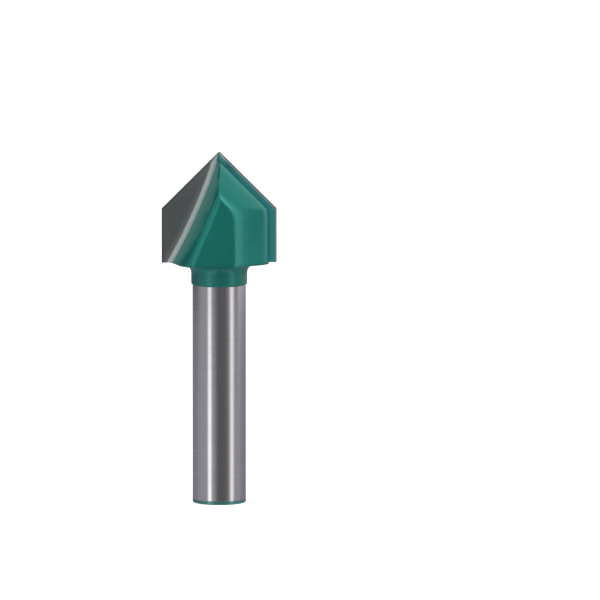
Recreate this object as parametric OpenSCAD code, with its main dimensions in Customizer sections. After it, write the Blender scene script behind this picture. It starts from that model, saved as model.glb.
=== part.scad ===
// V groove router bit: a turned and milled steel body with two brazed carbide tips.
// It stands on its tail end with the point up. The origin is the centre of the tail end.
// The left tip faces -Y and the right tip faces +Y, half a turn apart about Z.

/* [Shank] */
// Diameter of the shank that a collet grips
shank_d = 8; // [6:0.1:8.6]
// Length of the shank from the tail end to the neck
shank_len = 32.9; // [20:0.1:60]
// Size of the broken edge round the tail end
tail_break = 0.1; // [0.05:0.05:0.6]

/* [Neck] */
// How far the neck stands out past the shank, all round
neck_step = 0.2; // [0.1:0.05:0.5]
// Length of the neck, from the shank to the underside of the head
neck_len = 3.25; // [2:0.05:8]
// Size of the broken edge round the lower end of the neck
neck_break = 0.15; // [0.05:0.05:0.4]
// Radius of the hollow corner between the neck and the head
neck_fillet = 1.6; // [0.5:0.1:1.8]

/* [Cutting edges] */
// Diameter that the two side edges sweep
cutter_d = 17.2; // [16:0.1:19]
// Height of the straight side edges
side_h = 8.2; // [7:0.1:10]
// Full angle of the V that the slanted edges sweep
v_angle = 90; // [86:1:93]
// Width of the small flat at the point
point_flat = 0.3; // [0.1:0.05:0.6]

/* [Steel head] */
// How far the carbide stands out past the steel, measured across
overhang = 1.15; // [0.9:0.05:1.6]
// Distance from the centre plane to the heel corner of the steel
heel_depth = 2.4; // [2.1:0.1:3.2]
// Width of the slanted back, from the heel corner to the ridge
back_w = 5.2; // [4.8:0.05:5.5]
// Distance from the centre plane to the ridge
ridge_depth = 6.15; // [5.6:0.05:6.6]
// Height of the bow in the slanted back
back_bow = 0.18; // [0.05:0.01:0.24]
// Lean of the broad face beside the ridge, in degrees
face_lean = 3.2; // [1:0.1:5]
// Radius of the heel corner
heel_r = 2.6; // [1.4:0.1:2.8]
// Radius of the ridge
ridge_r = 0.8; // [0.4:0.1:1.2]
// Radius of the shoulder between the cone and the sides, at the heel corner
heel_shoulder_r = 1.5; // [0.8:0.1:3]
// Radius of the shoulder between the cone and the sides, at the ridge
ridge_shoulder_r = 4.5; // [3:0.1:5.5]

/* [Gullets] */
// Sweep radius of the wheel that cuts a gullet
gullet_r = 84; // [70:1:140]
// Distance from the axis to the gullet's corner at the underside of the head
gullet_foot = 7.2; // [6.9:0.05:7.4]
// Lean of the gullet's wall away from the tip's face, in degrees
gullet_lean = 16; // [13:0.5:22]
// Radius of the rounded edge between the gullet's wall and the broad face
gullet_edge_r = 1.5; // [0.8:0.1:2]

/* [Carbide tips] */
// Thickness of a carbide tip
tip_t = 1.5; // [1.2:0.1:1.8]
// Distance of a tip's cutting face ahead of the centre plane
face_ahead = 0.25; // [0.1:0.05:0.4]
// Clearance angle behind the slanted and side edges, in degrees
edge_relief = 9; // [5:1:14]
// Clearance angle behind the lower end of a tip, in degrees
end_relief = 10; // [5:1:14]
// How deep a tip sits in its slot, past the gullet's corner
slot_depth = 1; // [0.6:0.1:1.4]

/* [Braze] */
// Width of the braze seam on the cutting face
braze_w = 0.6; // [0.4:0.05:0.8]
// Height of bare carbide left at the point, above the seam
braze_gap = 1.5; // [1.1:0.1:2.2]

/* [Hidden] */

steel_colour = "gainsboro";
carbide_colour = "dimgray";
braze_colour = "lightgray";

far = 40;
turns = [0, 180];
bow_steps = 4;
corner_steps = 4;
shoulder_steps = 4;
edge_cuts = 4;
round_fn = 96;
wheel_fn = 720;

cutter_r = cutter_d / 2;
half_v = v_angle / 2;
neck_r = shank_d / 2 + neck_step;
head_z = shank_len + neck_len;
corner_z = head_z + side_h;
apex_z = corner_z + cutter_r / tan(half_v);
point_z = apex_z - point_flat / 2 / tan(half_v);

// Plan outline of the steel behind a tip: [distance in from the cutting edge, depth from the centre plane]
heel = [overhang, heel_depth];
ridge = [overhang + back_w, ridge_depth];
heel_side = [overhang, -far];
face_end = [ridge.x + far, ridge.y + far * tan(face_lean)];

// Gullet corner, as an arc in the cutting face of the left tip, from the apex to the underside
foot = [-gullet_foot, head_z];
apex = [0, apex_z];
chord = apex - foot;
chord_lean = atan2(chord.x, chord.y);
wheel_gap = sqrt(gullet_r * gullet_r - chord * chord / 4);
wheel_c = (apex + foot) / 2 + wheel_gap * [-cos(chord_lean), sin(chord_lean)];
arc_mid = wheel_c + gullet_r * [cos(chord_lean), -sin(chord_lean)];

// Outward directions of the broad face and of the gullet's wall, with their distances from the origin
face_n = [sin(face_lean), -cos(face_lean), 0];
wall_n = [
    -cos(gullet_lean) * cos(chord_lean),
    -sin(gullet_lean),
    cos(gullet_lean) * sin(chord_lean)
];
face_h = face_n * [cutter_r - ridge.x, -ridge.y, 0];
wall_h = wall_n * [arc_mid.x, -face_ahead, arc_mid.y];
edge_turn = acos(face_n * wall_n);

function unit(v) = v / norm(v);

function turned(v, angle) = [
    v.x * cos(angle) - v.y * sin(angle),
    v.x * sin(angle) + v.y * cos(angle)
];

// Points of a round of radius r at corner b, coming from a and going to c
function rounded(a, b, c, r, steps) =
    let (
        u = unit(a - b),
        w = unit(c - b),
        half = acos(u * w) / 2,
        centre = b + unit(u + w) * r / sin(half),
        start = b + u * r / tan(half) - centre,
        turn = (180 - 2 * half) * sign(cross(w, u))
    )
    [for (i = [0:steps]) centre + turned(start, turn * i / steps)];

// Points between a and b on a shallow bow of height h that bends most near b, without the two ends
function bowed(a, b, h, steps) =
    let (side = unit([a.y - b.y, b.x - a.x]))
    [
        for (i = [1:steps - 1])
            let (t = sqrt(i / steps))
            a + (b - a) * t + side * h * 1.87 * t * (1 - t ^ 4)
    ];

back = bowed(heel, ridge, back_bow, bow_steps);
back_outline = concat(
    [heel_side],
    rounded(heel_side, heel, back[0], heel_r, corner_steps),
    back,
    rounded(back[bow_steps - 2], ridge, face_end, ridge_r, corner_steps),
    [face_end, [face_end.x, -far]]
);

// Shoulder radius at a distance in from the cutting edge
function shoulder_r(inset) =
    let (share = max(0, min(1, (inset - heel.x) / back_w)))
    heel_shoulder_r + share * (ridge_shoulder_r - heel_shoulder_r);

// Distance from the origin to the tangent of the cutting edge's outline, rounded with radius r, at a tilt above level
function outline_h(tilt, r) =
    let (centre_z = (apex_z * sin(half_v) - r - (cutter_r - r) * cos(half_v)) / sin(half_v))
    (cutter_r - r) * cos(tilt) + centre_z * sin(tilt) + r;

// Everything beyond a plane, given its outward direction and its distance from the origin
module beyond(direction, distance) {
    rotate([0, acos(direction.z), atan2(direction.y, direction.x)])
        translate([-2 * far, -2 * far, distance])
            cube([4 * far, 4 * far, 2 * far]);
}

// Straight bar with the plan outline of the steel, tilted to one stretch of its upright outline
module back_bar(tilt) {
    rotate([0, -tilt, 0])
        translate([0, 0, -far])
            linear_extrude(4 * far)
                polygon([for (p = back_outline) [outline_h(tilt, shoulder_r(p.x)) - p.x * cos(tilt), -p.y]]);
}

// Front half of the head, from the middle plane to the slanted back, before any cut
module half_blank() {
    spare = 0.1;
    intersection() {
        rotate([90, 0, 0])
            linear_extrude(far)
                polygon([
                    [foot.x - spare, head_z],
                    [far, head_z],
                    [far, point_z],
                    [-spare, point_z]
                ]);
        intersection_for (step = [0:shoulder_steps])
            back_bar(half_v * step / shoulder_steps);
    }
}

// Space swept by the wheel in front of the left tip
module gullet() {
    translate([wheel_c.x, -face_ahead, wheel_c.y])
        rotate([90, 0, 0])
            cylinder(h = far, r1 = gullet_r, r2 = gullet_r + far * tan(gullet_lean), $fn = wheel_fn);
}

// Planes that round the edge between the broad face and the gullet's wall
module gullet_edge() {
    for (step = [1:edge_cuts - 1]) {
        part = step / edge_cuts;
        face_share = sin((1 - part) * edge_turn) / sin(edge_turn);
        wall_share = sin(part * edge_turn) / sin(edge_turn);
        distance = face_share * (face_h - gullet_edge_r) + wall_share * (wall_h - gullet_edge_r) + gullet_edge_r;
        beyond(face_share * face_n + wall_share * wall_n, distance);
    }
}

// Slot or tip of the left side, seen from the front, before its edges are relieved
module tip_plate() {
    in_x = slot_depth / cos(chord_lean);
    translate([0, tip_t - face_ahead, 0])
        rotate([90, 0, 0])
            linear_extrude(tip_t)
                polygon([
                    [0, point_z],
                    [-point_flat / 2, point_z],
                    [-cutter_r, corner_z],
                    [-cutter_r, head_z],
                    [foot.x + in_x, head_z],
                    [0, apex_z - in_x / tan(chord_lean)]
                ]);
}

module carbide_tip() {
    color(carbide_colour)
        difference() {
            tip_plate();
            translate([-cutter_r, -face_ahead, corner_z])
                rotate([0, 0, -edge_relief])
                    translate([-far, -far, -far])
                        cube([far, 3 * far, 2 * far]);
            translate([-cutter_r, -face_ahead, corner_z])
                rotate([0, half_v, 0])
                    rotate([0, 0, -edge_relief])
                        translate([-far, -far, -far])
                            cube([far, 3 * far, 2 * far]);
            translate([-far, -face_ahead, head_z])
                rotate([end_relief, 0, 0])
                    translate([0, -far, -far])
                        cube([2 * far, 3 * far, far]);
            rotate([0, 0, 180])
                gullet();
        }
}

// Hollow-faced seam that runs along the gullet's corner, from the underside to just below the point
module braze_seam() {
    hollow_r = braze_w * tan((90 + gullet_lean) / 2);
    color(braze_colour)
        intersection() {
            translate([wheel_c.x, -face_ahead, wheel_c.y])
                rotate([90, 0, 0])
                    rotate_extrude($fn = wheel_fn)
                        difference() {
                            polygon([
                                [gullet_r - braze_w, 0],
                                [gullet_r, 0],
                                [gullet_r + braze_w * sin(gullet_lean), braze_w * cos(gullet_lean)]
                            ]);
                            translate([gullet_r - braze_w, hollow_r])
                                circle(hollow_r, $fn = round_fn);
                        }
            translate([-far, -far, head_z])
                cube([2 * far, 2 * far, apex_z - braze_gap - head_z]);
        }
}

module half_head() {
    difference() {
        half_blank();
        gullet();
        gullet_edge();
        for (turn = turns)
            rotate([0, 0, turn])
                tip_plate();
    }
}

module tool_body() {
    color(steel_colour)
        union() {
            for (turn = turns)
                rotate([0, 0, turn])
                    half_head();
            turned_bar();
        }
}

// Neck and shank, turned in one with the head
module turned_bar() {
    shank_r = shank_d / 2;
    rotate_extrude($fn = round_fn) {
        polygon([
            [0, 0],
            [shank_r - tail_break, 0],
            [shank_r, tail_break],
            [shank_r, shank_len],
            [neck_r - neck_break, shank_len],
            [neck_r, shank_len + neck_break],
            [neck_r, head_z + neck_fillet],
            [0, head_z + neck_fillet]
        ]);
        difference() {
            translate([neck_r - neck_fillet, head_z - neck_fillet])
                square([2 * neck_fillet, neck_fillet]);
            translate([neck_r + neck_fillet, head_z - neck_fillet])
                circle(neck_fillet, $fn = round_fn);
        }
    }
}

module left_carbide_tip() {
    carbide_tip();
}

module right_carbide_tip() {
    rotate([0, 0, 180])
        carbide_tip();
}

module left_braze_seam() {
    braze_seam();
}

module right_braze_seam() {
    rotate([0, 0, 180])
        braze_seam();
}

tool_body();
left_carbide_tip();
right_carbide_tip();
left_braze_seam();
right_braze_seam();
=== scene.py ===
"""Dresses the V groove router bit: ground steel, green paint, carbide tips and silver braze.

Lengths are in metres, directions are in degrees to the right of the camera's side.
"""
import logging
import math
from dataclasses import dataclass
from enum import Enum
from typing import Optional, Sequence

import bmesh
import bpy
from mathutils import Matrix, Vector

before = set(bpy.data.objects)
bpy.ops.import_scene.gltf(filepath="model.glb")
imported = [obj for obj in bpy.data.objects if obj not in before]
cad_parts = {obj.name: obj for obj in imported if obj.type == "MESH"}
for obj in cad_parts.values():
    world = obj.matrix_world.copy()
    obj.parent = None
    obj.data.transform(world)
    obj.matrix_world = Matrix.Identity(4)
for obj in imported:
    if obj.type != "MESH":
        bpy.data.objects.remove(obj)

LOG = logging.getLogger("router_bit")
MM = 0.001

Triple = tuple[float, float, float]
Colour = Triple
WHITE: Colour = (1.0, 1.0, 1.0)
UNTURNED: Triple = (0.0, 0.0, 0.0)


class Side(Enum):
    """A side of the bit. The value is the sign of X there, and of Y where its cutting face looks."""

    LEFT = -1
    RIGHT = 1


class Nodes:
    """Short calls for making the nodes of a material or a node group."""

    def __init__(self, tree: bpy.types.NodeTree) -> None:
        """Keeps the tree that the nodes go in.

        Args:
            tree: The node tree of a material, a world or a group.
        """
        self.tree = tree

    def new(self, kind: str, **settings: object) -> bpy.types.Node:
        """Adds a node and sets its properties.

        Args:
            kind: The node's type name, without the ShaderNode prefix.
            settings: Properties of the node.

        Returns:
            The new node.
        """
        node = self.tree.nodes.new("ShaderNode" + kind)
        for name, value in settings.items():
            setattr(node, name, value)
        return node

    def put(self, node: bpy.types.Node, key: str | int, value: object) -> None:
        """Sets an input of a node to a plain value, or links it to another node's output.

        Args:
            node: The node that has the input.
            key: The input's name or number.
            value: A number, a colour or an output socket.
        """
        if isinstance(value, bpy.types.NodeSocket):
            self.tree.links.new(value, node.inputs[key])
        else:
            node.inputs[key].default_value = value

    def math(self, operation: str, first: object, second: object = 0.0) -> bpy.types.NodeSocket:
        """Works out one sum.

        Args:
            operation: The Math node's operation.
            first: A number or an output socket.
            second: A number or an output socket.

        Returns:
            The output socket.
        """
        node = self.new("Math", operation=operation)
        self.put(node, 0, first)
        self.put(node, 1, second)
        return node.outputs[0]

    def ramp(self, value: object, low: float, high: float, start: float = 0.0,
             end: float = 1.0) -> bpy.types.NodeSocket:
        """Maps a range of a value smoothly onto another one.

        Args:
            value: The output socket that varies.
            low: The value at which the result is start.
            high: The value at which the result is end.
            start: Result at low and below.
            end: Result at high and above.

        Returns:
            The output socket.
        """
        node = self.new("MapRange", interpolation_type="SMOOTHSTEP")
        self.put(node, "Value", value)
        self.put(node, "From Min", low)
        self.put(node, "From Max", high)
        self.put(node, "To Min", start)
        self.put(node, "To Max", end)
        return node.outputs["Result"]

    def mix(self, share: object, first: object, second: object) -> bpy.types.NodeSocket:
        """Mixes two colours.

        Args:
            share: How much of the second colour there is.
            first: A colour or an output socket.
            second: A colour or an output socket.

        Returns:
            The output socket.
        """
        node = self.new("Mix", data_type="RGBA")
        self.put(node, 0, share)
        self.put(node, 6, first)
        self.put(node, 7, second)
        return node.outputs[2]

    def waver(self, vector: bpy.types.NodeSocket, scale: float, size: float) -> bpy.types.NodeSocket:
        """Makes a small irregular shift about zero.

        Args:
            vector: Where the pattern is read.
            scale: How fine the pattern is.
            size: Full range of the shift.

        Returns:
            The output socket of the shift.
        """
        return self.math("MULTIPLY", self.math("SUBTRACT", self.noise(vector, scale), 0.5), size)

    def noise(self, vector: bpy.types.NodeSocket, scale: float, detail: float = 3.0) -> bpy.types.NodeSocket:
        """Adds a noise pattern.

        Args:
            vector: Where the pattern is read.
            scale: How fine the pattern is.
            detail: Octaves of the pattern.

        Returns:
            The output socket of its value.
        """
        node = self.new("TexNoise")
        self.put(node, "Vector", vector)
        self.put(node, "Scale", scale)
        self.put(node, "Detail", detail)
        return node.outputs["Fac"]


@dataclass(frozen=True)
class Fade:
    """A smooth change from start to end while a value goes from low to high."""

    low: float
    high: float
    start: float = 0.0
    end: float = 1.0

    def over(self, kit: Nodes, value: object, base: float = 0.0) -> bpy.types.NodeSocket:
        """Applies the change to a value.

        Args:
            kit: The nodes of a material, a world or a group.
            value: The output socket that varies.
            base: Where the stretch is measured from.

        Returns:
            The output socket.
        """
        return kit.ramp(value, base + self.low, base + self.high, self.start, self.end)


def rgba(colour: Colour) -> tuple[float, float, float, float]:
    """Gives a colour an alpha of one.

    Args:
        colour: Red, green and blue.

    Returns:
        The colour with its alpha.
    """
    return (*colour, 1.0)


class Grinding:
    """Fine parallel lines that a grinding wheel leaves, as one shared node group."""

    name: str = "grinding_lines"
    shares: tuple[float, float] = (0.55, 0.45)
    finer: float = 3.7
    octaves: float = 4.0

    def __init__(self) -> None:
        """Builds the group once."""
        tree = bpy.data.node_groups.new(self.name, "ShaderNodeTree")
        face = tree.interface
        face.new_socket("Vector", in_out="INPUT", socket_type="NodeSocketVector")
        face.new_socket("Scale", in_out="INPUT", socket_type="NodeSocketFloat")
        face.new_socket("Lines", in_out="OUTPUT", socket_type="NodeSocketFloat")
        kit = Nodes(tree)
        source = tree.nodes.new("NodeGroupInput")
        target = tree.nodes.new("NodeGroupOutput")
        coarse = kit.new("TexNoise")
        fine = kit.new("TexNoise")
        for node, factor in ((coarse, 1.0), (fine, self.finer)):
            kit.put(node, "Vector", source.outputs["Vector"])
            kit.put(node, "Scale", kit.math("MULTIPLY", source.outputs["Scale"], factor))
            kit.put(node, "Detail", self.octaves)
        broad = kit.math("MULTIPLY", coarse.outputs["Fac"], self.shares[0])
        narrow = kit.math("MULTIPLY", fine.outputs["Fac"], self.shares[1])
        tree.links.new(kit.math("ADD", broad, narrow), target.inputs["Lines"])
        self.tree = tree

    def lines(self, kit: Nodes, stretch: Triple, turn: Triple, scale: float) -> bpy.types.NodeSocket:
        """Places the group in a material.

        Args:
            kit: The material's nodes.
            stretch: Factor on each axis, less than 1 where the lines are drawn out.
            turn: Turn of the pattern about each axis, in radians.
            scale: How fine the pattern is.

        Returns:
            The output socket, about 0.5 on the average.
        """
        place = kit.new("Mapping")
        kit.put(place, "Vector", kit.new("TexCoord").outputs["Object"])
        kit.put(place, "Rotation", turn)
        kit.put(place, "Scale", stretch)
        group = kit.new("Group")
        group.node_tree = self.tree
        kit.put(group, "Vector", place.outputs["Vector"])
        kit.put(group, "Scale", scale)
        return group.outputs["Lines"]


class Lacquer:
    """Colour and sheen of the green paint, as one shared node group."""

    name: str = "green_paint"
    cloud_scale: float = 160.0
    flake_scale: float = 9000.0
    octaves: float = 2.0
    cloud_tone: Fade = Fade(0.3, 0.7, 0.94, 1.04)
    flake_tone: Fade = Fade(0.3, 0.7, -0.04, 0.04)
    sheen: Fade = Fade(0.35, 0.65, 0.29, 0.33)
    cloud_relief: float = 0.5
    flake_relief: float = 0.1

    def __init__(self) -> None:
        """Builds the group once."""
        tree = bpy.data.node_groups.new(self.name, "ShaderNodeTree")
        face = tree.interface
        face.new_socket("Vector", in_out="INPUT", socket_type="NodeSocketVector")
        face.new_socket("Tint", in_out="INPUT", socket_type="NodeSocketColor")
        face.new_socket("Dullness", in_out="INPUT", socket_type="NodeSocketFloat")
        face.new_socket("Color", in_out="OUTPUT", socket_type="NodeSocketColor")
        face.new_socket("Roughness", in_out="OUTPUT", socket_type="NodeSocketFloat")
        face.new_socket("Height", in_out="OUTPUT", socket_type="NodeSocketFloat")
        kit = Nodes(tree)
        source = tree.nodes.new("NodeGroupInput")
        target = tree.nodes.new("NodeGroupOutput")
        cloud = kit.noise(source.outputs["Vector"], self.cloud_scale, self.octaves)
        flake = kit.noise(source.outputs["Vector"], self.flake_scale, self.octaves)
        shade = kit.math("ADD", self.cloud_tone.over(kit, cloud), self.flake_tone.over(kit, flake))
        tone = kit.new("VectorMath", operation="SCALE")
        kit.put(tone, 0, source.outputs["Tint"])
        kit.put(tone, "Scale", shade)
        tree.links.new(tone.outputs[0], target.inputs["Color"])
        dull = kit.math("ADD", self.sheen.over(kit, cloud), source.outputs["Dullness"])
        tree.links.new(dull, target.inputs["Roughness"])
        broad = kit.math("MULTIPLY", cloud, self.cloud_relief)
        fine = kit.math("MULTIPLY", flake, self.flake_relief)
        tree.links.new(kit.math("ADD", broad, fine), target.inputs["Height"])
        self.tree = tree

    def place(self, kit: Nodes, tint: object, dullness: object = 0.0) -> bpy.types.Node:
        """Places the group in a material.

        Args:
            kit: The material's nodes.
            tint: Colour of the paint with its alpha, or an output socket.
            dullness: A number or an output socket that is added to the roughness.

        Returns:
            The group's node, with its colour, roughness and height outputs.
        """
        group = kit.new("Group")
        group.node_tree = self.tree
        kit.put(group, "Vector", kit.new("TexCoord").outputs["Object"])
        kit.put(group, "Tint", tint)
        kit.put(group, "Dullness", dullness)
        return group


@dataclass(frozen=True)
class MetalFinish:
    """A bare metal finish, and how paint lies over it."""

    name: str
    colour: Colour
    streak: Colour
    roughness: float
    rough_spread: float
    paint_metallic: float = 0.5
    metallic: float = 1.0
    coat: float = 0.45
    coat_roughness: float = 0.2
    edge_tint: Colour = (0.85, 0.9, 0.9)
    paint_relief: float = 0.25
    paint_step: float = 1.0
    relief: float = 0.12
    relief_depth: float = 0.00002
    streak_spread: Fade = Fade(0.35, 0.65)
    rough_lines: tuple[float, float] = (0.3, 0.7)

    def material(self) -> tuple[bpy.types.Material, Nodes, bpy.types.Node]:
        """Makes an empty material with one principled shader.

        Returns:
            The material, its node calls and the shader's node.
        """
        material = bpy.data.materials.new(self.name)
        material.use_nodes = True
        kit = Nodes(material.node_tree)
        return material, kit, material.node_tree.nodes["Principled BSDF"]

    def dress(self, lines: bpy.types.NodeSocket, kit: Nodes, shader: bpy.types.Node,
              paint: Optional[bpy.types.Node] = None, painted: Optional[bpy.types.NodeSocket] = None,
              normal: Optional[bpy.types.NodeSocket] = None) -> None:
        """Joins bare metal and paint in one shader.

        Args:
            lines: The grinding lines.
            kit: The material's nodes.
            shader: The principled shader.
            paint: The paint group's node, or None where there is no paint.
            painted: Mask that is 1 where paint covers the metal, or None.
            normal: Normal that the fine relief is laid over, or None for the surface's own.
        """
        bare = kit.mix(self.streak_spread.over(kit, lines), rgba(self.streak), rgba(self.colour))
        most = self.roughness + self.rough_spread
        least = self.roughness - self.rough_spread
        rough = kit.ramp(lines, *self.rough_lines, most, least)
        height = lines
        if paint is None:
            kit.put(shader, "Base Color", bare)
            kit.put(shader, "Roughness", rough)
            kit.put(shader, "Metallic", self.metallic)
        else:
            kit.put(shader, "Base Color", kit.mix(painted, bare, paint.outputs["Color"]))
            values = kit.new("Mix")
            for key, value in ((0, painted), (2, rough), (3, paint.outputs["Roughness"])):
                kit.put(values, key, value)
            kit.put(shader, "Roughness", values.outputs[0])
            loss = kit.math("MULTIPLY", painted, 1.0 - self.paint_metallic)
            kit.put(shader, "Metallic", kit.math("SUBTRACT", 1.0, loss))
            heights = kit.new("Mix")
            relief = kit.math("MULTIPLY", paint.outputs["Height"], self.paint_relief)
            skin = kit.math("ADD", relief, self.paint_step)
            for key, value in ((0, painted), (2, height), (3, skin)):
                kit.put(heights, key, value)
            height = heights.outputs[0]
            kit.put(shader, "Coat Weight", kit.math("MULTIPLY", painted, self.coat))
            kit.put(shader, "Coat Roughness", self.coat_roughness)
            kit.put(shader, "Specular Tint", rgba(self.edge_tint))
        bump = kit.new("Bump")
        kit.put(bump, "Strength", self.relief)
        kit.put(bump, "Distance", self.relief_depth)
        kit.put(bump, "Height", height)
        if normal is not None:
            kit.put(bump, "Normal", normal)
        kit.put(shader, "Normal", bump.outputs["Normal"])


@dataclass
class CadPiece:
    """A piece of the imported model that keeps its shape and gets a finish."""

    node: str
    edge: float = 0.00006
    edge_segments: int = 2
    edge_angle: float = 28.0
    weld: float = 1e-6
    flatness: int = 50

    def soften(self) -> None:
        """Breaks the sharp edges very slightly and shades the round stretches smoothly."""
        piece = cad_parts[self.node]
        weld = piece.modifiers.new("weld", "WELD")
        weld.merge_threshold = self.weld
        bevel = piece.modifiers.new("edge_break", "BEVEL")
        bevel.width = self.edge
        bevel.segments = self.edge_segments
        bevel.limit_method = "ANGLE"
        bevel.angle_limit = math.radians(self.edge_angle)
        bevel.harden_normals = False
        for polygon in piece.data.polygons:
            polygon.use_smooth = True
        weigh = piece.modifiers.new("weigh", "WEIGHTED_NORMAL")
        weigh.mode = "FACE_AREA_WITH_ANGLE"
        weigh.weight = self.flatness

    def paint(self, material: bpy.types.Material) -> None:
        """Gives every slot of the piece one material.

        Args:
            material: The finished material.
        """
        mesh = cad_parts[self.node].data
        if not mesh.materials:
            mesh.materials.append(material)
        for index in range(len(mesh.materials)):
            mesh.materials[index] = material
        LOG.info("%s dressed with %s", self.node, material.name)


@dataclass
class ToolBody(CadPiece):
    """Shank, neck and head in one piece of steel, painted but for the shank above its tail ring."""

    node: str = "tool_body"
    neck_z: float = 0.0329
    head_z: float = 0.03615
    tail_band: float = 0.00058
    tint: Colour = (0.006, 0.266, 0.222)
    # Darker paint for the neck: painted shade where the head shades it from the top light.
    shaded_neck_tint: Colour = (0.006, 0.228, 0.192)
    neck_dullness: float = 0.14
    waver_scale: float = 300.0
    waver_size: float = 0.0001
    paint_r: float = 0.001
    paint_samples: int = 8
    grain: Triple = (0.02, 0.02, 1.0)
    grain_scale: float = 9000.0
    neck_edge: Fade = Fade(-0.00002, 0.00002)
    tail_edge: Fade = Fade(-0.00003, 0.00003, 0.88, 0.0)
    head_edge: Fade = Fade(-0.0003, 0.0, 1.0, 0.0)
    cone_top: Fade = Fade(0.0435, 0.046)
    finish: MetalFinish = MetalFinish("ground_steel", (0.615, 0.60, 0.62), (0.56, 0.55, 0.565),
                                      roughness=0.18, rough_spread=0.02)

    def dress(self, grinding: Grinding, lacquer: Lacquer) -> None:
        """Makes the material and puts it on.

        Args:
            grinding: The shared grinding lines.
            lacquer: The shared paint.
        """
        material, kit, shader = self.finish.material()
        lines = grinding.lines(kit, self.grain, UNTURNED, self.grain_scale)
        place = kit.new("TexCoord").outputs["Object"]
        axes = kit.new("SeparateXYZ")
        kit.put(axes, 0, place)
        height = axes.outputs["Z"]
        level = kit.math("ADD", height, kit.waver(place, self.waver_scale, self.waver_size))
        neck = self.neck_edge.over(kit, level, self.neck_z)
        tail = self.tail_edge.over(kit, level, self.tail_band)
        painted = kit.math("MAXIMUM", neck, tail)
        below = self.head_edge.over(kit, height, self.head_z)
        # Below the head the paint turns darker: painted shade of the head over the neck.
        tint = kit.mix(below, rgba(self.tint), rgba(self.shaded_neck_tint))
        paint = lacquer.place(kit, tint, kit.math("MULTIPLY", below, self.neck_dullness))
        crisp = kit.math("MAXIMUM", below, self.cone_top.over(kit, height))
        self.finish.dress(lines, kit, shader, paint, painted, self.flowed(kit, crisp))
        self.soften()
        self.paint(material)

    def flowed(self, kit: Nodes, crisp: bpy.types.NodeSocket) -> bpy.types.NodeSocket:
        """Rounds the shading of the head's edges, as thick paint does that has flowed over them.

        Args:
            kit: The material's nodes.
            crisp: Mask that is 1 where the edges stay crisp: on the neck, the shank and the top of the cone.

        Returns:
            The output socket of the normal.
        """
        rounded = kit.new("Bevel", samples=self.paint_samples)
        kit.put(rounded, "Radius", self.paint_r)
        blend = kit.new("Mix", data_type="VECTOR")
        own = kit.new("NewGeometry").outputs["Normal"]
        for key, value in ((0, crisp), (4, rounded.outputs["Normal"]), (5, own)):
            kit.put(blend, key, value)
        return blend.outputs[1]


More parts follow.
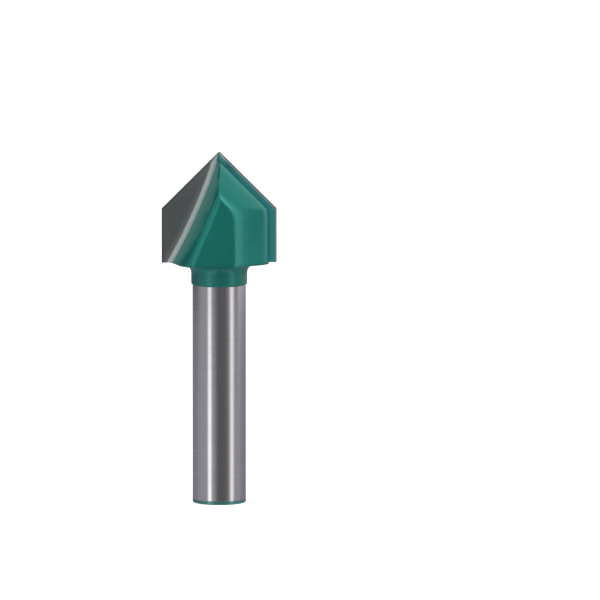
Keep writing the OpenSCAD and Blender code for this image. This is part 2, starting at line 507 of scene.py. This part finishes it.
@dataclass
class CarbideTip(CadPiece):
    """A carbide plate: bare on its cutting face, dusted with paint on its flanks, painted on its back.

    The wheel is the circle that bounds the gullet on the cutting face, as in the part's source.
    """

    side: Side = Side.LEFT
    face_y: float = 0.00025
    wheel_x: float = 0.080346
    wheel_z: float = 0.077440
    wheel_r: float = 0.084
    apex_z: float = 0.05295
    half_w: float = 0.0086
    relief: float = 9.0
    grain: Triple = (1.0, 0.02, 0.05)
    grain_turn: float = -35.0
    grain_scale: float = 6000.0
    waver_scale: float = 500.0
    waver_size: float = 0.0003
    back_edge: Fade = Fade(0.0002, 0.00025)
    corner_edge: Fade = Fade(-0.00002, 0.00002, 1.0, 0.0)
    overspray: Fade = Fade(0.00002, 0.00006, 0.2, 1.0)
    # Where the tip's paint turns darker toward the point: painted shade.
    top_shade: Fade = Fade(-0.004, -0.0015)
    # Lightens the bare carbide near the braze line.
    toward_braze: Fade = Fade(0.0004, 0.0016, 0.75, 0.0)
    pale_top: Fade = Fade(-0.008, -0.001, 0.0, 0.55)
    rim_shadow: Fade = Fade(0.00012, 0.0003, 0.75, 0.0)
    crown_width: Fade = Fade(0.0004, 0.0007, 1.0, 0.0)
    crown_top: Fade = Fade(-0.0021, -0.0016)
    # The tip's paint is lighter and bluer than the body's: painted light standing in for the reflection on
    # the tip's back.
    tint: Colour = (0.045, 0.43, 0.43)
    # Darker paint toward the point: painted shade on the cone's stretch of the tip's back.
    shaded_top_tint: Colour = (0.03, 0.28, 0.29)
    pale: Colour = (0.62, 0.67, 0.66)
    silver: Colour = (0.48, 0.53, 0.51)
    dark: Colour = (0.13, 0.15, 0.155)
    finish: MetalFinish = MetalFinish("carbide", (0.33, 0.37, 0.375), (0.31, 0.35, 0.355),
                                      roughness=0.32, rough_spread=0.03)

    def dress(self, grinding: Grinding, lacquer: Lacquer) -> None:
        """Makes the material and puts it on.

        Args:
            grinding: The shared grinding lines.
            lacquer: The shared paint.
        """
        material, kit, shader = self.finish.material()
        turn = math.radians(self.grain_turn * self.side.value)
        lines = grinding.lines(kit, self.grain, (0.0, turn, 0.0), self.grain_scale)
        place = kit.new("TexCoord").outputs["Object"]
        axes = kit.new("SeparateXYZ")
        kit.put(axes, 0, place)
        height = axes.outputs["Z"]
        out = kit.math("MULTIPLY", axes.outputs["X"], float(self.side.value))
        ahead = kit.math("MULTIPLY", axes.outputs["Y"], float(self.side.value))
        behind = kit.math("SUBTRACT", self.face_y, ahead)
        depth = kit.math("ADD", behind, kit.waver(place, self.waver_scale, self.waver_size))
        gullet = self.inside_gullet(kit, out, height)
        rim = self.from_rim(kit, out, height)
        relieved = kit.math("MULTIPLY", behind, math.tan(math.radians(self.relief)))
        dusted = self.overspray.over(kit, kit.math("SUBTRACT", rim, relieved))
        back = kit.math("MULTIPLY", self.back_edge.over(kit, depth), dusted)
        painted = kit.math("MAXIMUM", back, self.corner_edge.over(kit, gullet))
        # Paint on the tip's back turns darker toward the point: painted shade.
        tint = kit.mix(self.top_shade.over(kit, height, self.apex_z), rgba(self.tint), rgba(self.shaded_top_tint))
        self.finish.dress(lines, kit, shader, lacquer.place(kit, tint), painted)
        self.shade(kit, shader, gullet, rim, height)
        self.soften()
        self.paint(material)

    def inside_gullet(self, kit: Nodes, out: bpy.types.NodeSocket,
                      height: bpy.types.NodeSocket) -> bpy.types.NodeSocket:
        """Measures how far a point of the cutting face is inside the gullet's corner.

        Args:
            kit: The material's nodes.
            out: Distance from the axis toward the tip's own side.
            height: Height above the tail end.

        Returns:
            The output socket, in metres.
        """
        across = kit.math("SUBTRACT", self.wheel_x, out)
        up = kit.math("SUBTRACT", self.wheel_z, height)
        square = kit.math("ADD", kit.math("MULTIPLY", across, across), kit.math("MULTIPLY", up, up))
        return kit.math("SUBTRACT", self.wheel_r, kit.math("SQRT", square))

    def from_rim(self, kit: Nodes, out: bpy.types.NodeSocket,
                 height: bpy.types.NodeSocket) -> bpy.types.NodeSocket:
        """Measures how far a point of the cutting face is inside the slanted and side edges.

        Args:
            kit: The material's nodes.
            out: Distance from the axis toward the tip's own side.
            height: Height above the tail end.

        Returns:
            The output socket, in metres.
        """
        below = kit.math("SUBTRACT", self.apex_z, kit.math("ADD", height, out))
        slant = kit.math("MULTIPLY", below, math.sqrt(0.5))
        return kit.math("MINIMUM", slant, kit.math("SUBTRACT", self.half_w, out))

    def shade(self, kit: Nodes, shader: bpy.types.Node, gullet: bpy.types.NodeSocket,
              rim: bpy.types.NodeSocket, height: bpy.types.NodeSocket) -> None:
        """Lightens the bare carbide toward the braze and the point, and darkens its outer rim.

        Args:
            kit: The material's nodes.
            shader: The principled shader.
            gullet: Distance inside the gullet's corner.
            rim: Distance inside the slanted and side edges.
            height: Height above the tail end.
        """
        # The bare carbide is drawn lighter toward the braze line.
        toward_braze = self.toward_braze.over(kit, gullet)
        top = self.pale_top.over(kit, height, self.apex_z)
        shadow = self.rim_shadow.over(kit, rim)
        crown_top = self.crown_top.over(kit, height, self.apex_z)
        crown = kit.math("MULTIPLY", self.crown_width.over(kit, gullet), crown_top)
        sheen = shader.inputs["Metallic"].links[0].from_socket
        kit.put(shader, "Metallic", kit.math("MULTIPLY", sheen, kit.math("SUBTRACT", 1.0, crown)))
        base = shader.inputs["Base Color"].links[0].from_node
        bare = base.inputs[6].links[0].from_socket
        pale = kit.mix(kit.math("MAXIMUM", toward_braze, top), bare, rgba(self.pale))
        pale = kit.mix(crown, pale, rgba(self.silver))
        kit.put(base, 6, kit.mix(shadow, pale, rgba(self.dark)))


@dataclass
class BrazeSeam(CadPiece):
    """The silver line between a tip and the gullet wall."""

    grain: Triple = (1.0, 1.0, 0.35)
    grain_scale: float = 700.0
    finish: MetalFinish = MetalFinish("silver_braze", (0.52, 0.60, 0.58), (0.47, 0.55, 0.53),
                                      roughness=0.42, rough_spread=0.04, metallic=0.55)

    def dress(self, grinding: Grinding) -> None:
        """Makes the material and puts it on.

        Args:
            grinding: The shared grinding lines.
        """
        material, kit, shader = self.finish.material()
        lines = grinding.lines(kit, self.grain, UNTURNED, self.grain_scale)
        self.finish.dress(lines, kit, shader)
        self.soften()
        self.paint(material)


@dataclass(frozen=True)
class Strip:
    """An upright strip of the cards that is brighter or darker, with its half widths in degrees."""

    azimuth: float
    core: float
    spread: float
    near_glow: float
    far_glow: float

    def light(self, kit: Nodes, apart: bpy.types.NodeSocket,
              far: bpy.types.NodeSocket) -> bpy.types.NodeSocket:
        """Works out what the strip adds to the cards' brightness.

        Args:
            kit: The material's nodes.
            apart: Angle to the middle of the strip.
            far: Mask that is 1 on the wall and 0 on the skirt near the bit.

        Returns:
            The output socket.
        """
        width = kit.ramp(apart, self.core, self.spread, 1.0, 0.0)
        glow = kit.ramp(far, 0.0, 1.0, self.near_glow, self.far_glow)
        return kit.math("MULTIPLY", width, glow)


@dataclass(frozen=True)
class Lamp:
    """A square soft lamp that faces the neck."""

    name: str
    azimuth: float
    elevation: float
    distance: float
    width: float
    power: float
    aim_z: float = 0.03

    def hang(self) -> None:
        """Makes the lamp and turns it to the bit."""
        turn = math.radians(self.azimuth)
        rise = math.radians(self.elevation)
        way = Vector((math.sin(turn) * math.cos(rise), -math.cos(turn) * math.cos(rise), math.sin(rise)))
        light = bpy.data.lights.new(self.name, "AREA")
        light.shape = "RECTANGLE"
        light.size = self.width
        light.size_y = self.width
        light.energy = self.power
        lamp = bpy.data.objects.new(self.name, light)
        bpy.context.scene.collection.objects.link(lamp)
        lamp.location = Vector((0.0, 0.0, self.aim_z)) + way * self.distance
        lamp.rotation_euler = (-way).to_track_quat("-Z", "Y").to_euler()


@dataclass(frozen=True)
class PhotoCamera:
    """A long lens that looks down as the photo's does, with the bit left of the middle."""

    lens: float = 1200.0
    sensor: float = 36.0
    pixel: float = 0.1497 * MM
    picture_px: int = 600
    tilt: float = 7.5
    right_px: float = 80.8
    up_px: float = 201.9
    clip: tuple[float, float] = (0.05, 20.0)

    def aim(self) -> None:
        """Makes the camera and gives it to the scene."""
        distance = self.picture_px * self.pixel * self.lens / self.sensor
        tilt = math.radians(self.tilt)
        target = Vector((self.right_px * self.pixel, 0.0, self.up_px * self.pixel / math.cos(tilt)))
        eye = bpy.data.cameras.new("camera")
        eye.lens = self.lens
        eye.sensor_width = self.sensor
        eye.clip_start, eye.clip_end = self.clip
        camera = bpy.data.objects.new("camera", eye)
        bpy.context.scene.collection.objects.link(camera)
        back = Vector((0.0, -math.cos(tilt), math.sin(tilt)))
        camera.location = target + back * distance
        camera.rotation_euler = (-back).to_track_quat("-Z", "Y").to_euler()
        bpy.context.scene.camera = camera


@dataclass
class Studio:
    """Pale floor, white surround, reflecting cards, lamps and the camera."""

    ambient: float = 0.5
    floor_tone: Colour = (0.8, 0.8, 0.8)
    floor_roughness: float = 0.9
    floor_glow: float = 0.75
    shank_r: float = 0.004
    card_r: float = 0.34
    card_hole: float = 0.00402
    card_z: float = 0.0001
    card_top: float = 0.5
    card_segments: int = 96
    floor_size: float = 3.0
    wall_reach: Fade = Fade(0.25, 0.28)
    front: float = 8.0
    front_tone: Fade = Fade(12.0, 62.0, 0.14, 0.42)
    rear_loss: Fade = Fade(92.0, 125.0, 0.0, 0.11)
    rear_left: Fade = Fade(-115.0, -72.0, 0.9, 0.0)
    patch_z: float = 0.32
    patch_height: Fade = Fade(0.06, 0.14, 0.8, 0.0)
    patch_azimuth: float = 48.0
    patch_width: Fade = Fade(14.0, 32.0, 1.0, 0.0)
    cool_sides: Fade = Fade(58.0, 80.0)
    plain_light: Colour = (1.0, 0.985, 1.0)
    cool_light: Colour = (0.99, 0.95, 1.08)
    strips: Sequence[Strip] = (
        Strip(-42.0, 2.0, 12.0, 1.4, 0.55),
        Strip(-26.0, 2.0, 24.0, 0.18, 0.0),
        Strip(56.5, 3.0, 14.0, 0.95, 0.85),
        Strip(76.0, 3.0, 16.0, 0.0, -0.2),
        Strip(122.0, 22.0, 40.0, 0.0, 0.5),
        Strip(44.0, 3.0, 15.0, 0.0, 0.15),
    )
    lamps: Sequence[Lamp] = (
        Lamp("top_lamp", azimuth=30.0, elevation=75.0, distance=0.32, width=0.25, power=0.31),
        Lamp("front_lamp", azimuth=-20.0, elevation=35.0, distance=0.6, width=0.3, power=0.52),
    )

    def white(self) -> None:
        """Makes the surround white where the camera, gloss or glass sees it."""
        world = bpy.data.worlds.new("surround")
        bpy.context.scene.world = world
        world.use_nodes = True
        kit = Nodes(world.node_tree)
        ground = world.node_tree.nodes["Background"]
        kit.put(ground, "Color", rgba(WHITE))
        more = kit.math("MULTIPLY", self.seen(kit), 1.0 - self.ambient)
        kit.put(ground, "Strength", kit.math("ADD", self.ambient, more))

    def seen(self, kit: Nodes) -> bpy.types.NodeSocket:
        """Tells the rays that show a surface from those that only light one.

        Args:
            kit: The nodes of a material or of the world.

        Returns:
            The output socket, 1 for camera, gloss and glass rays.
        """
        path = kit.new("LightPath")
        seen = kit.math("MAXIMUM", path.outputs["Is Camera Ray"], path.outputs["Is Glossy Ray"])
        return kit.math("MAXIMUM", seen, path.outputs["Is Transmission Ray"])

    def floor(self) -> None:
        """Lays the pale floor that the bit stands on."""
        shape = bmesh.new()
        bmesh.ops.create_grid(shape, x_segments=1, y_segments=1, size=self.floor_size)
        floor = self.add("floor", shape)
        material = bpy.data.materials.new("pale_floor")
        material.use_nodes = True
        kit = Nodes(material.node_tree)
        shader = material.node_tree.nodes["Principled BSDF"]
        kit.put(shader, "Base Color", rgba(self.floor_tone))
        kit.put(shader, "Roughness", self.floor_roughness)
        kit.put(shader, "Specular IOR Level", 0.0)
        kit.put(shader, "Emission Color", rgba(WHITE))
        kit.put(shader, "Emission Strength", kit.math("MULTIPLY", self.seen(kit), self.floor_glow))
        floor.data.materials.append(material)

    def cards(self) -> None:
        """Stands a round wall of cards for the metal to reflect, with a skirt just over the floor."""
        shape = bmesh.new()
        bmesh.ops.create_circle(shape, segments=self.card_segments, radius=self.card_hole)
        bmesh.ops.translate(shape, verts=shape.verts, vec=(0.0, 0.0, self.card_z))
        rim = self.pulled(shape, shape.edges[:])
        growth = self.card_r / self.card_hole
        bmesh.ops.scale(shape, verts=rim, vec=(growth, growth, 1.0))
        top = self.pulled(shape, [edge for edge in shape.edges if all(end in rim for end in edge.verts)])
        bmesh.ops.translate(shape, verts=top, vec=(0.0, 0.0, self.card_top))
        cards = self.add("reflecting_cards", shape)
        cards.visible_camera = False
        cards.visible_diffuse = False
        cards.visible_shadow = False
        cards.data.materials.append(self.card_tones())

    def card_tones(self) -> bpy.types.Material:
        """Makes the cards' light: dim in front, with upright strips and a high patch on the right.

        Returns:
            The finished material.
        """
        material = bpy.data.materials.new("card_tones")
        material.use_nodes = True
        kit = Nodes(material.node_tree)
        material.node_tree.nodes.remove(material.node_tree.nodes["Principled BSDF"])
        place = kit.new("TexCoord").outputs["Object"]
        axes = kit.new("SeparateXYZ")
        kit.put(axes, 0, place)
        turn = kit.math("ARCTAN2", axes.outputs["X"], kit.math("MULTIPLY", axes.outputs["Y"], -1.0))
        length = kit.new("VectorMath", operation="LENGTH")
        kit.put(length, 0, place)
        reach = length.outputs["Value"]
        spread = kit.math("DIVIDE", reach, kit.math("SUBTRACT", reach, self.shank_r / 2.0))
        azimuth = kit.math("MULTIPLY", kit.math("MULTIPLY", turn, 180.0 / math.pi), spread)
        far = self.wall_reach.over(kit, reach)
        tone = self.front_tone.over(kit, self.away(kit, azimuth, self.front))
        tone = kit.math("SUBTRACT", tone, self.rear_loss.over(kit, self.away(kit, azimuth, 0.0)))
        rear_left = kit.math("MULTIPLY", self.rear_left.over(kit, azimuth), far)
        tone = kit.math("MULTIPLY", tone, kit.math("SUBTRACT", 1.0, rear_left))
        for strip in self.strips:
            apart = self.away(kit, azimuth, strip.azimuth)
            tone = kit.math("ADD", tone, strip.light(kit, apart, far))
        high = self.patch_height.over(kit, self.away(kit, axes.outputs["Z"], self.patch_z))
        near = self.patch_width.over(kit, self.away(kit, azimuth, self.patch_azimuth))
        tone = kit.math("ADD", tone, kit.math("MULTIPLY", near, high))
        sides = self.cool_sides.over(kit, self.away(kit, azimuth, 0.0))
        cool = kit.math("MULTIPLY", sides, kit.math("SUBTRACT", 1.0, far))
        glow = kit.new("Emission")
        kit.put(glow, "Color", kit.mix(cool, rgba(self.plain_light), rgba(self.cool_light)))
        kit.put(glow, "Strength", tone)
        kit.put(material.node_tree.nodes["Material Output"], "Surface", glow.outputs[0])
        return material

    def away(self, kit: Nodes, value: bpy.types.NodeSocket, centre: float) -> bpy.types.NodeSocket:
        """Measures how far a direction or a height is from another one, either way.

        Args:
            kit: The material's nodes.
            value: The direction or the height.
            centre: The other direction or height.

        Returns:
            The output socket, in the unit of the value.
        """
        return kit.math("ABSOLUTE", kit.math("SUBTRACT", value, centre))

    def pulled(self, shape: bmesh.types.BMesh, edges: list[bmesh.types.BMEdge]) -> list[bmesh.types.BMVert]:
        """Extrudes edges where they are.

        Args:
            shape: The bmesh that has the edges.
            edges: The edges to extrude.

        Returns:
            The new vertices, still to be moved.
        """
        raised = bmesh.ops.extrude_edge_only(shape, edges=edges)
        return [part for part in raised["geom"] if isinstance(part, bmesh.types.BMVert)]

    def add(self, name: str, shape: bmesh.types.BMesh) -> bpy.types.Object:
        """Turns a bmesh into a stage object.

        Args:
            name: The object's name.
            shape: The finished bmesh, freed here.

        Returns:
            The new object.
        """
        mesh = bpy.data.meshes.new(name)
        shape.to_mesh(mesh)
        shape.free()
        piece = bpy.data.objects.new(name, mesh)
        bpy.context.scene.collection.objects.link(piece)
        return piece

    def build(self) -> None:
        """Sets up the whole studio."""
        bpy.context.scene.view_settings.view_transform = "Standard"
        self.white()
        self.floor()
        self.cards()
        for lamp in self.lamps:
            lamp.hang()
        PhotoCamera().aim()
        LOG.info("studio set up")


def main() -> None:
    """Dresses each piece in turn."""
    logging.basicConfig(level=logging.INFO, format="%(message)s")
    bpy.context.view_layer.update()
    grinding = Grinding()
    lacquer = Lacquer()
    ToolBody().dress(grinding, lacquer)
    CarbideTip(node="left_carbide_tip", side=Side.LEFT).dress(grinding, lacquer)
    CarbideTip(node="right_carbide_tip", side=Side.RIGHT).dress(grinding, lacquer)
    for node in ("left_braze_seam", "right_braze_seam"):
        BrazeSeam(node=node).dress(grinding)
    Studio().build()


if __name__ == "__main__":
    main()
